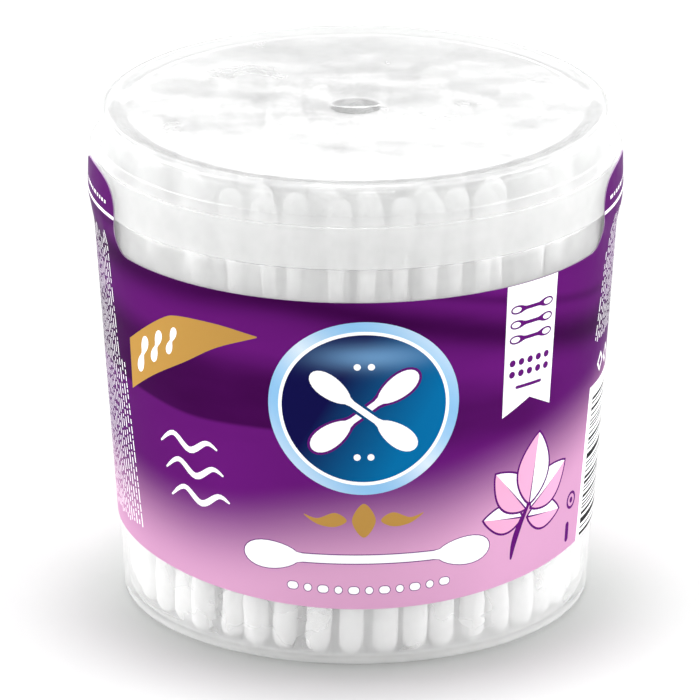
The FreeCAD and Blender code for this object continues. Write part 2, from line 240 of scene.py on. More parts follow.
def clear_plastic(name, milk, rough, wave, tone=0.975, gate=None, wall=None):
    """Moulded polypropylene: clear, a little milky, and glossy on both faces."""
    n = Nodes(name)
    slant = n.add("ShaderNodeLayerWeight", {"Blend": 0.5}).outputs["Facing"]
    flow = n.noise(55.0, 2.0, 0.5, stretch=(1.0, 1.0, 0.45))
    fine = n.noise(1400.0, 2.0, 0.6)
    normal = n.bump(flow, 0.35, wave)
    normal = n.bump(fine, 0.10, 0.00004, normal)
    haze = n.span(n.noise(90.0, 3.0, 0.55), 0.3, 0.7, milk * 0.85, milk * 1.15)
    body = (tone, tone, tone, 1.0)
    xyz = n.add("ShaderNodeSeparateXYZ", {0: n.coords()})
    x, y, z = (n.maths("MULTIPLY", xyz.outputs[k], 1000.0) for k in (0, 1, 2))
    if wall:
        # the corner and the standing ring are thicker, so milkier, and so is the upper wall
        haze = n.maths("MULTIPLY", haze, n.ramp(z, 20.0, wall, 1.08, 1.35))
        haze = n.maths("ADD", haze, n.ramp(z, 1.0, 2.6, 0.38, 0.0))
    if gate:
        # the flat top is clearer and duller than the skirt
        top = n.ramp(z, 78.2, 78.9, 0.0, 1.0)
        haze = n.maths("MULTIPLY", haze, n.span(top, 0.0, 1.0, 1.0, 0.84))
        # the lower skirt, over the tub's neck, is the milkiest
        haze = n.maths("MULTIPLY", haze, n.ramp(z, 73.0, 74.0, 1.12, 1.0))
        # painted shade: the sloped upper skirt, from the ledge up to the flat top, gets a darker milk colour
        body = n.mix(n.ramp(z, 73.8, 75.2, 0.0, 1.0), body, (0.83, 0.832, 0.832, 1.0))
        body = n.mix(top, body, (0.86, 0.862, 0.862, 1.0))
        # painted shade: the milk colour is much darker in the middle of the gate dimple
        far = n.maths("SQRT", n.maths("ADD", n.maths("MULTIPLY", x, x), n.maths("MULTIPLY", y, y)))
        body = n.mix(n.span(far, gate - 0.5, gate + 0.2, 1.0, 0.0), body, (0.60, 0.605, 0.605, 1.0))
    clear = n.add("ShaderNodeBsdfTransparent", {"Color": (0.985, 0.985, 0.985, 1.0)})
    near = n.add("ShaderNodeBsdfDiffuse", {"Color": body, "Normal": normal})
    through = n.add("ShaderNodeBsdfTranslucent", {"Color": body, "Normal": normal})
    cloud = n.add("ShaderNodeMixShader", {0: 0.5, 1: near.outputs[0], 2: through.outputs[0]})
    milky = n.add("ShaderNodeMixShader", {0: haze, 1: clear.outputs[0], 2: cloud.outputs[0]})
    shine = n.add("ShaderNodeBsdfGlossy", {"Color": (1.0, 1.0, 1.0, 1.0), "Roughness": rough, "Normal": normal})
    # the share that each face mirrors: 4 in 100 head on, all of it edge on
    edge = n.maths("ADD", n.maths("MULTIPLY", n.maths("POWER", slant, 5.0), 0.96), 0.04)
    full = n.add("ShaderNodeMixShader", {0: edge, 1: milky.outputs[0], 2: shine.outputs[0]})
    n.put(n.out.inputs["Surface"], full.outputs[0])
    return n.mat


def ink(name, colour, rough=0.34):
    """Printed ink under the film's gloss: a plain colour with the film's faint ripple and uneven gloss."""
    n = Nodes(name)
    normal = n.bump(n.noise(120.0, 2.0, 0.5, stretch=(1.0, 1.0, 0.35)), 0.12, 0.0002)
    normal = n.bump(n.noise(2600.0, 1.0, 0.5), 0.05, 0.00002, normal)
    gloss = n.span(n.noise(300.0, 3.0, 0.6), 0.3, 0.7, rough - 0.05, rough + 0.06)
    p = n.add(
        "ShaderNodeBsdfPrincipled",
        {"Base Color": colour, "Roughness": gloss, "Specular IOR Level": 0.006, "Normal": normal},
    )
    n.put(n.out.inputs["Surface"], p.outputs[0])
    return n.mat


def around(n):
    """The angle round the tub from the middle of the wrap's front, and the height in millimetres."""
    xyz = n.add("ShaderNodeSeparateXYZ", {0: n.coords()})
    back = n.maths("MULTIPLY", xyz.outputs[1], -1.0)
    angle = n.maths("SUBTRACT", n.maths("ARCTAN2", xyz.outputs[0], back), WRAP_TURN)
    return angle, n.maths("MULTIPLY", xyz.outputs[2], 1000.0)


def satin_film():
    """Purple satin with soft folds, running out to pale pink at the lower edge, with painted shade darkening it round
    the two sides.
    """
    n = Nodes("printed_satin_side_shade")
    angle, z = around(n)
    s = n.maths("SINE", angle)
    c = n.maths("COSINE", angle)
    sway = n.noise(26.0, 1.0, 0.4, stretch=(1.0, 1.0, 0.5))
    zz = n.maths("ADD", z, n.span(sway, 0.2, 0.8, -1.8, 1.8))
    lean = n.maths("SQRT", n.maths("ADD", n.maths("MULTIPLY", s, s), 0.05))
    both = n.maths("MULTIPLY", n.maths("ADD", s, lean), 6.3)
    first = n.maths("SUBTRACT", 61.3, both)
    dark = n.fold(zz, first, 2.9, 0.95)
    upper = n.maths("SUBTRACT", 66.5, n.maths("MULTIPLY", both, 0.95))
    dark = n.maths("ADD", dark, n.fold(zz, upper, 0.9, 0.5))
    # the second fold has a crisp lower edge at the left and is soft and weaker at the right
    right = n.ramp(s, -0.35, 0.2, 0.0, 1.0)
    low = n.maths("SUBTRACT", 38.2, n.maths("MULTIPLY", s, 2.2))
    blur = n.maths("ADD", 0.45, n.maths("MULTIPLY", right, 2.6))
    top = n.maths("SUBTRACT", 48.0, n.maths("MULTIPLY", s, 4.5))
    foot = n.ramp(zz, n.maths("SUBTRACT", low, blur), n.maths("ADD", low, blur), 0.0, 1.0)
    head = n.ramp(zz, n.maths("SUBTRACT", top, 3.2), n.maths("ADD", top, 3.2), 1.0, 0.0)
    second = n.maths("MULTIPLY", n.maths("MULTIPLY", foot, head), n.maths("SUBTRACT", n.ramp(s, 0.62, 0.85, 0.9, 0.35), n.maths("MULTIPLY", right, 0.28)))
    dark = n.maths("ADD", dark, second)
    folds = n.noise(60.0, 2.0, 0.5, stretch=(1.0, 1.0, 3.2))
    dark = n.maths("ADD", dark, n.span(folds, 0.25, 0.75, -0.10, 0.10), clamp=True)
    purple = n.mix(dark, srgb(95, 22, 109), srgb(54, 5, 62))
    # the pale lower part rises to the right
    middle = n.maths("ADD", 24.6, n.maths("ADD", n.maths("MULTIPLY", s, 7.0), n.maths("MULTIPLY", n.maths("SUBTRACT", 1.0, c), 7.0)))
    middle = n.maths("ADD", middle, n.ramp(s, -0.5, 0.0, -1.7, 0.0))
    low = n.maths("SUBTRACT", middle, 9.5)
    high = n.maths("ADD", middle, 8.5)
    pale = n.ramp(zz, low, high, 1.0, 0.0)
    colour = n.mix(pale, purple, srgb(206, 154, 189))
    # painted shade: the print is darkened round the two sides, away from the front
    side = n.ramp(n.maths("ABSOLUTE", s), 0.5, 1.0, 0.0, 0.36)
    colour = n.mix(side, colour, n.mix(pale, srgb(40, 4, 47), srgb(150, 105, 140)))
    normal = n.bump(n.noise(120.0, 2.0, 0.5, stretch=(1.0, 1.0, 0.35)), 0.12, 0.0002)
    gloss = n.span(n.noise(300.0, 3.0, 0.6), 0.3, 0.7, 0.30, 0.40)
    p = n.add(
        "ShaderNodeBsdfPrincipled",
        {"Base Color": colour, "Roughness": gloss, "Specular IOR Level": 0.006, "Normal": normal},
    )
    n.put(n.out.inputs["Surface"], p.outputs[0])
    return n.mat


def medallion_blue():
    """Navy to bright blue across the round medallion, with a soft light over its top."""
    n = Nodes("printed_blue")
    angle, z = around(n)
    u = n.maths("MULTIPLY", angle, R0)
    across = n.maths("ADD", n.maths("MULTIPLY", u, 0.06), n.maths("MULTIPLY", n.maths("SUBTRACT", MED_Z, z), 0.035))
    fac = n.maths("ADD", across, 0.38, clamp=True)
    colour = n.mix(fac, srgb(16, 15, 67), srgb(7, 100, 153))
    gu = n.maths("DIVIDE", n.maths("SUBTRACT", u, 1.5), 8.5)
    gz = n.maths("DIVIDE", n.maths("SUBTRACT", z, MED_Z + 8.6), 2.0)
    glow = n.maths("EXPONENT", n.maths("MULTIPLY", n.maths("ADD", n.maths("MULTIPLY", gu, gu), n.maths("MULTIPLY", gz, gz)), -1.0))
    colour = n.mix(n.maths("MULTIPLY", glow, 0.75), colour, srgb(108, 153, 195))
    normal = n.bump(n.noise(120.0, 2.0, 0.5, stretch=(1.0, 1.0, 0.35)), 0.12, 0.0002)
    p = n.add("ShaderNodeBsdfPrincipled", {"Base Color": colour, "Roughness": 0.32, "Specular IOR Level": 0.006, "Normal": normal})
    n.put(n.out.inputs["Surface"], p.outputs[0])
    return n.mat


def pale_ring():
    """Light blue to white over the medallion's ring."""
    n = Nodes("printed_pale_blue")
    angle, z = around(n)
    u = n.maths("MULTIPLY", angle, R0)
    across = n.maths("ADD", n.maths("MULTIPLY", u, 0.05), n.maths("MULTIPLY", n.maths("SUBTRACT", z, MED_Z), 0.05))
    wave = n.maths("ABSOLUTE", n.maths("SINE", n.maths("MULTIPLY", across, 2.6)))
    colour = n.mix(wave, srgb(205, 220, 232), srgb(134, 182, 220))
    normal = n.bump(n.noise(120.0, 2.0, 0.5, stretch=(1.0, 1.0, 0.35)), 0.12, 0.0002)
    p = n.add("ShaderNodeBsdfPrincipled", {"Base Color": colour, "Roughness": 0.32, "Specular IOR Level": 0.006, "Normal": normal})
    n.put(n.out.inputs["Surface"], p.outputs[0])
    return n.mat


def cotton():
    """Wound cotton: matt white fibre with fine strands and soft lumps."""
    n = Nodes("wound_cotton")
    at = n.coords()
    lumps = n.noise(420.0, 3.0, 0.6, vector=at)
    strands = n.noise(2600.0, 3.0, 0.7, vector=at, stretch=(1.0, 1.0, 0.25))
    normal = n.bump(lumps, 0.5, 0.0003)
    normal = n.bump(strands, 0.6, 0.00012, normal)
    tint = n.mix(n.span(lumps, 0.3, 0.75, 0.0, 1.0), (0.87, 0.87, 0.868, 1.0), (0.94, 0.94, 0.937, 1.0))
    p = n.add(
        "ShaderNodeBsdfPrincipled",
        {"Base Color": tint, "Roughness": 0.95, "Specular IOR Level": 0.1, "Sheen Weight": 0.35, "Sheen Roughness": 0.6, "Normal": normal},
    )
    n.put(n.out.inputs["Surface"], p.outputs[0])
    return n.mat


def paper():
    """Rolled paper: white, matt, with faint fibres along the stick."""
    n = Nodes("rolled_paper")
    at = n.coords()
    fibres = n.noise(900.0, 3.0, 0.6, vector=at, stretch=(1.0, 1.0, 0.12))
    normal = n.bump(fibres, 0.35, 0.00006)
    tint = n.mix(n.span(fibres, 0.3, 0.7, 0.0, 1.0), (0.87, 0.87, 0.865, 1.0), (0.93, 0.93, 0.925, 1.0))
    p = n.add("ShaderNodeBsdfPrincipled", {"Base Color": tint, "Roughness": 0.7, "Specular IOR Level": 0.3, "Normal": normal})
    n.put(n.out.inputs["Surface"], p.outputs[0])
    return n.mat


# ---------------------------------------------------------------------------
# Meshes
# ---------------------------------------------------------------------------
def make_object(name, verts, faces, materials, slots=None, sharp=35.0):
    mesh = bpy.data.meshes.new(name)
    mesh.from_pydata([tuple(v) for v in verts], [], faces)
    for m in materials:
        mesh.materials.append(m)
    if slots is not None:
        mesh.polygons.foreach_set("material_index", slots)
    mesh.polygons.foreach_set("use_smooth", [True] * len(mesh.polygons))
    mesh.update()
    mesh.set_sharp_from_angle(angle=math.radians(sharp))
    mesh.validate()
    ob = bpy.data.objects.new(name, mesh)
    bpy.context.scene.collection.objects.link(ob)
    return ob


def rounded(profile):
    """Profile points from (r, z) or (r, z, radius) corners; a corner with a radius is rounded."""
    out = []
    count = len(profile)
    for i, point in enumerate(profile):
        if len(point) == 2:
            out.append(point)
            continue
        r, z, radius = point
        a, b = Vector(profile[i - 1][:2]), Vector(profile[(i + 1) % count][:2])
        p = Vector((r, z))
        da, db = (a - p).normalized(), (b - p).normalized()
        angle = da.angle(db)
        cut = min(radius / math.tan(angle / 2), 0.45 * (a - p).length, 0.45 * (b - p).length)
        start, end = p + da * cut, p + db * cut
        steps = max(3, int(abs(math.pi - angle) / math.radians(15)) + 1)
        for k in range(steps + 1):
            t = k / steps
            q = (1 - t) ** 2 * start + 2 * t * (1 - t) * p + t * t * end
            out.append((q.x, q.y))
    return out


def held(points, near=0.3):
    """Adds a point near each end of a long straight run, so that its shading stays flat."""
    out = []
    for a, b in zip(points, points[1:]):
        out.append(a)
        length = math.hypot(b[0] - a[0], b[1] - a[1])
        if length > 4 * near:
            for t in (near / length, 1 - near / length):
                out.append((a[0] + (b[0] - a[0]) * t, a[1] + (b[1] - a[1]) * t))
    out.append(points[-1])
    return out


def lathe(name, profile, segments, material, sharp=40.0):
    """A closed (r, z) outline in millimetres, from the axis round to the axis, turned about Z."""
    points = held(rounded(profile))
    verts, rows = [], []
    for r, z in points:
        if r < 1e-6:
            rows.append([len(verts)])
            verts.append((0.0, 0.0, z * MM))
        else:
            start = len(verts)
            rows.append(list(range(start, start + segments)))
            for k in range(segments):
                a = 2 * math.pi * k / segments
                verts.append((r * MM * math.cos(a), r * MM * math.sin(a), z * MM))
    faces = []
    for i in range(len(rows) - 1):
        a, b = rows[i], rows[i + 1]
        for k in range(segments):
            j = (k + 1) % segments
            if len(a) == 1 and len(b) == 1:
                break
            if len(a) == 1:
                faces.append((a[0], b[k], b[j]))
            elif len(b) == 1:
                faces.append((a[k], b[0], a[j]))
            else:
                faces.append((a[k], b[k], b[j], a[j]))
    ob = make_object(name, verts, faces, [material], sharp=sharp)
    check_outward(ob)
    return ob


def check_outward(ob):
    """Turns the faces over if the closed mesh is inside out."""
    m = ob.data
    m.calc_loop_triangles()
    co = np.empty(len(m.vertices) * 3)
    m.vertices.foreach_get("co", co)
    co = co.reshape(-1, 3)
    tri = np.empty(len(m.loop_triangles) * 3, int)
    m.loop_triangles.foreach_get("vertices", tri)
    a, b, c = (co[tri.reshape(-1, 3)[:, i]] for i in range(3))
    if np.einsum("ij,ij->i", a, np.cross(b, c)).sum() < 0:
        m.flip_normals()


def corner(radius, base_r, floor_z, steps=7):
    """Arc between a level floor and the drafted wall."""
    cz = floor_z + radius
    cr = base_r + math.tan(SLOPE) * cz - radius / math.cos(SLOPE)
    start, end = -math.pi / 2, -SLOPE
    return [
        (cr + radius * math.cos(start + (end - start) * k / steps), cz + radius * math.sin(start + (end - start) * k / steps))
        for k in range(steps + 1)
    ]


def make_tub(material):
    under = FLOOR_TOP - FLOOR_T
    inner = corner(1.0, inner_r(0.0), FLOOR_TOP)
    wall = [(wall_r(z), z) for z in (12.0, 24.0, 36.0, 48.0, 60.0)]
    wall_in = [(inner_r(z), z) for z in (60.0, 48.0, 36.0, 24.0, 12.0)]
    profile = [
        (0.0, under), (FOOT_R_IN - 0.7, under, 0.3), (FOOT_R_IN, 0.0, 0.25),
        *corner(1.3, wall_r(0.0), 0.0), *wall,
        (wall_r(SHOULDER_Z) - 0.02, SHOULDER_Z, 0.3),
        (NECK_R_OUT, SHOULDER_Z, 0.12), (NECK_R_OUT, BEAD_Z - 0.5, 0.1), (BEAD_R, BEAD_Z - 0.1, 0.1),
        (BEAD_R, BEAD_Z + 0.1, 0.1), (NECK_R_OUT, BEAD_Z + 0.5, 0.1),
        (NECK_R_OUT, RIM_Z, 0.35), (NECK_R_IN, RIM_Z, 0.35),
        (NECK_R_IN, SHOULDER_Z + 0.1, 0.5), (inner_r(SHOULDER_Z - 1.2), SHOULDER_Z - 1.2, 0.5),
        *wall_in, *reversed(inner), (0.0, FLOOR_TOP),
    ]
    return lathe("tub_body", profile, 256, material)


def make_lid(material):
    t, c = LID_T, LID_CORNER_R
    ledge = LID_SKIRT_R_TOP - 0.35
    dimple = LID_PANEL_Z - GATE_DEPTH
    dish = [(GATE_R * k / 8, dimple + GATE_DEPTH * (k / 8) ** 2.2) for k in range(1, 8)]
    profile = [
        (0.0, LID_PANEL_Z - t), (12.0, LID_PANEL_Z - t), (24.0, LID_PANEL_Z - t),
        (LID_TOP_R - t - 0.1, LID_PANEL_Z - t, 0.8), (LID_UPPER_R - t, LID_SLOPE_TOP_Z - 0.4, 0.5),
        (LID_SKIRT_R_TOP - t, LID_LEDGE_Z - 0.35, 0.5), (LID_SKIRT_R - t, LID_BOTTOM_Z, 0.1),
        (LID_SKIRT_R, LID_BOTTOM_Z, 0.22), (LID_SKIRT_R_TOP, LID_LEDGE_Z, 0.34),
        (ledge, LID_LEDGE_Z, 0.06), (ledge, LID_LEDGE_Z + 0.18, 0.06),
        (LID_UPPER_R, LID_SLOPE_TOP_Z, 0.5), (LID_TOP_R + 0.04, HEIGHT, c),
        (LID_RIM_R_IN + 1.45, HEIGHT, 5.0), (LID_RIM_R_IN, LID_PANEL_Z, 5.0),
        (24.0, LID_PANEL_Z), (12.0, LID_PANEL_Z), (GATE_R + 0.5, LID_PANEL_Z),
        (GATE_R, LID_PANEL_Z, 0.3), *reversed(dish), (0.0, dimple),
    ]
    return lathe("lid_body", profile, 256, material)


# ---------------------------------------------------------------------------
# Print on the film, drawn flat: u runs round the tub and z up, in millimetres
# ---------------------------------------------------------------------------
R0 = 39.5
MED_Z = 43.9
WHITE, GOLD, PURPLE, PINK, BLACK = range(5)          # plain inks
SATIN, BLUE, PALE, BACK, EDGE = range(10, 15)        # on the film itself


def U(degrees):
    return math.radians(degrees) * R0


def lower_edge(u):
    """The wrap's lower edge: a long curve, lowest at the front and the back."""
    half = wall_r(WRAP_BOTTOM_Z)
    radius = (half * half + WRAP_RISE * WRAP_RISE) / (2 * WRAP_RISE)
    x = half * math.sin(u / R0)
    return WRAP_BOTTOM_Z + radius - math.sqrt(radius * radius - x * x)


TONGUE = [
    (11.7, 61.55), (10.2, 61.85), (9.2, 62.7), (8.85, 64.0), (9.0, 65.6),
    (9.35, 67.3), (9.25, 69.2), (8.5, 71.0), (7.0, 72.35), (4.8, 73.1), (2.4, 73.42), (0.0, TAB_TOP_Z),
]


def spline(points, steps=6, closed=False):
    """A smooth line through the points."""
    out = []
    n = len(points)
    last = n if closed else n - 1
    for i in range(last):
        p0 = points[(i - 1) % n] if closed or i > 0 else points[i]
        p1, p2 = points[i], points[(i + 1) % n]
        p3 = points[(i + 2) % n] if closed or i + 2 < n else p2
        for k in range(steps):
            t = k / steps
            out.append(tuple(
                0.5 * ((2 * b) + (c - a) * t + (2 * a - 5 * b + 4 * c - d) * t * t + (3 * b - a - 3 * c + d) * t ** 3)
                for a, b, c, d in zip(p0, p1, p2, p3)
            ))
    if not closed:
        out.append(tuple(points[-1]))
    return out


def film_radius(z, part):
    if part == "seal":
        return skirt_r(max(z, 67.4)) + FILM_GAP + FILM_T
    base = wall_r(min(z, 66.9)) + FILM_GAP + FILM_T
    if z > 61.5:
        t = min(1.0, (z - 61.5) / 5.6)
        base += (LID_SKIRT_R + FILM_GAP + FILM_T - base) * t * t * (3 - 2 * t)
    return base


def tongue_u(z, y, side):
    """Turns a width seen from the side into a distance round the film."""
    r = film_radius(z, "wrap" if z < 67.2 else "seal")
    return side * (TONGUE_AT * R0) + R0 * math.asin(max(-1.0, min(1.0, y / r)))


class Drawing:
    """Fields of one printed sheet. A later field lies over an earlier one."""

    def __init__(self, outline, base):
        self.fields = []
        self.add(base, outline, 1.2)

    def add(self, slot, points, step=1.0):
        fine = []
        n = len(points)
        for i in range(n):
            a, b = points[i], points[(i + 1) % n]
            parts = max(1, int(math.ceil(abs(b[0] - a[0]) / step)))
            for k in range(parts):
                t = k / parts
                fine.append((a[0] + (b[0] - a[0]) * t, a[1] + (b[1] - a[1]) * t))
        clean = []
        for q in fine:
            if not clean or math.hypot(q[0] - clean[-1][0], q[1] - clean[-1][1]) > 1e-4:
                clean.append(q)
        if math.hypot(clean[0][0] - clean[-1][0], clean[0][1] - clean[-1][1]) < 1e-4:
            clean.pop()
        area = sum(a[0] * b[1] - b[0] * a[1] for a, b in zip(clean, clean[1:] + clean[:1]))
        if area < 0:
            clean.reverse()
        self.fields.append((slot, clean))

    def disc(self, slot, u, z, ru, rz=None, n=40, turn=0.0):
        rz = rz or ru
        c, s = math.cos(turn), math.sin(turn)
        pts = []
        for k in range(n):
            a = 2 * math.pi * k / n
            x, y = ru * math.cos(a), rz * math.sin(a)
            pts.append((u + c * x - s * y, z + s * x + c * y))
        self.add(slot, pts)

    def bar(self, slot, u, z, w, h, turn=0.0):
        c, s = math.cos(turn), math.sin(turn)
        self.add(slot, [(u + c * x - s * y, z + s * x + c * y) for x, y in ((-w / 2, -h / 2), (w / 2, -h / 2), (w / 2, h / 2), (-w / 2, h / 2))])

    def capsule(self, slot, u, z, w, h, turn=0.0, n=8):
        """A bar with round ends."""
        c, s = math.cos(turn), math.sin(turn)
        pts = []
        for side in (1, -1):
            for k in range(n + 1):
                a = -math.pi / 2 + math.pi * k / n + (0 if side > 0 else math.pi)
                pts.append((side * (w - h) / 2 + h / 2 * math.cos(a), h / 2 * math.sin(a)))
        self.add(slot, [(u + c * x - s * y, z + s * x + c * y) for x, y in pts])

    def swab(self, slot, u, z, length, tip, turn=0.0, grow=0.0, stick=0.24):
        """A swab seen from the side: a thin stick and two long round tips, in one outline."""
        half, h, tl = length / 2, tip / 2, tip * 1.75
        s = tip * stick / 2 + grow
        side = []
        for k in range(13):
            a = math.pi * 0.93 * k / 12
            side.append((half - tl / 2 + (tl / 2 + grow) * math.cos(a), (h + grow) * math.sin(a) * (0.86 + 0.14 * math.cos(a))))
        side = [p for p in side if p[1] >= s * 0.98 or p[0] > half - tl / 2]
        top = side + [(half - tl - 0.1 * tip, s)]
        pts = top + [(-x, y) for x, y in reversed(top)]
        pts = pts + [(x, -y) for x, y in reversed(pts)]
        clean = [pts[0]]
        for q in pts[1:]:
            if math.hypot(q[0] - clean[-1][0], q[1] - clean[-1][1]) > 1e-3:
                clean.append(q)
        c, sn = math.cos(turn), math.sin(turn)
        self.add(slot, [(u + c * x - sn * y, z + sn * x + c * y) for x, y in clean])

    def stroke(self, slot, points, width, taper=True, steps=6):
        """A drawn line, thinner at its ends."""
        mid = spline(points, steps)
        left, right = [], []
        n = len(mid) - 1
        for i, (x, y) in enumerate(mid):
            a, b = mid[max(0, i - 1)], mid[min(n, i + 1)]
            dx, dy = b[0] - a[0], b[1] - a[1]
            d = math.hypot(dx, dy) or 1.0
            t = i / n
            w = width / 2 * ((0.25 + 0.75 * math.sin(math.pi * min(1, max(0, t)))) if taper else 1.0)
            left.append((x - dy / d * w, y + dx / d * w))
            right.append((x + dy / d * w, y - dx / d * w))
        self.add(slot, left + right[::-1])


def wrap_outline():
    pts = []
    # lower edge, left to right
    steps = 150
    for k in range(steps + 1):
        u = -math.pi * R0 + 2 * math.pi * R0 * k / steps
        pts.append((u, lower_edge(u)))
    # top edge, right to left, with the two tongues up to the tear line
    pts.append((math.pi * R0, WRAP_TOP_Z))
    for side in (1, -1):
        curve = [q for q in spline(TONGUE, 5)]
        cut = 67.13
        half = [q for q in curve if q[1] < cut]
        for k in range(1, len(curve)):
            if curve[k][1] >= cut:
                a, b = curve[k - 1], curve[k]
                t = (cut - a[1]) / (b[1] - a[1])
                half.append((a[0] + (b[0] - a[0]) * t, cut))
                break
        pts += [(tongue_u(z, y, side), z) for y, z in half]
        pts += [(tongue_u(z, -y, side), z) for y, z in reversed(half)]
    pts.append((-math.pi * R0, WRAP_TOP_Z))
    return pts


def seal_outline(side):
    curve = spline(TONGUE, 5)
    low = 67.21
    half = []
    for k in range(1, len(curve)):
        a, b = curve[k - 1], curve[k]
        if a[1] < low <= b[1]:
            t = (low - a[1]) / (b[1] - a[1])
            half.append((a[0] + (b[0] - a[0]) * t, low))
        if b[1] >= low:
            half.append(b)
    pts = [(tongue_u(max(z, 67.21), -y, side), z) for y, z in half]
    pts += [(tongue_u(max(z, 67.21), y, side), z) for y, z in reversed(half)]
    return pts


def leaf(art, u, z, length, width, turn, flip):
    """A rounded leaf: outline, white body, one half tinted, and a midrib."""
    def shape(l, w, off=0.0, half=0):
        pts = []
        for k in range(17):
            t = k / 16
            pts.append((off + l * t, w / 2 * math.sin(math.pi * t) ** 0.8 * (1.15 - 0.3 * t)))
        other = [(x, -y) for x, y in reversed(pts[1:-1])]
        if half:
            return [(x, y * half) for x, y in pts]
        return pts + other

    c, s = math.cos(turn), math.sin(turn)

    def put(slot, pts):
        art.add(slot, [(u + c * x - s * y, z + s * x + c * y) for x, y in pts])

    put(PURPLE, shape(length, width))
    put(WHITE, shape(length - 0.9, width - 0.75, 0.45))
    put(PINK, shape(length - 0.9, width - 0.75, 0.45, flip))
    put(PURPLE, [(0.3, 0.16), (length * 0.72, 0.0), (0.3, -0.16)])


def greek(art, first, last, side, z_low, z_high, lean, rng, slot=WHITE):
    """Leaning columns of thin dashes that stand for fine print; angles in degrees at the foot of each column."""
    for k in range(int(abs(last - first) / 1.5)):
        foot = first + side * 1.5 * k
        top = z_high(k) - rng.uniform(0.0, 1.2)
        z = z_low + rng.uniform(0.0, 0.8)
        while z < top:
            h = rng.choice((0.5, 0.8, 0.8, 1.2, 1.7, 2.3))
            a, b = foot + lean * (z - z_low), foot + lean * (z + h - z_low)
            art.add(slot, [(U(a) - 0.14, z), (U(a) + 0.14, z), (U(b) + 0.14, z + h), (U(b) - 0.14, z + h)])
            z += h + rng.choice((0.25, 0.3, 0.4, 0.7))


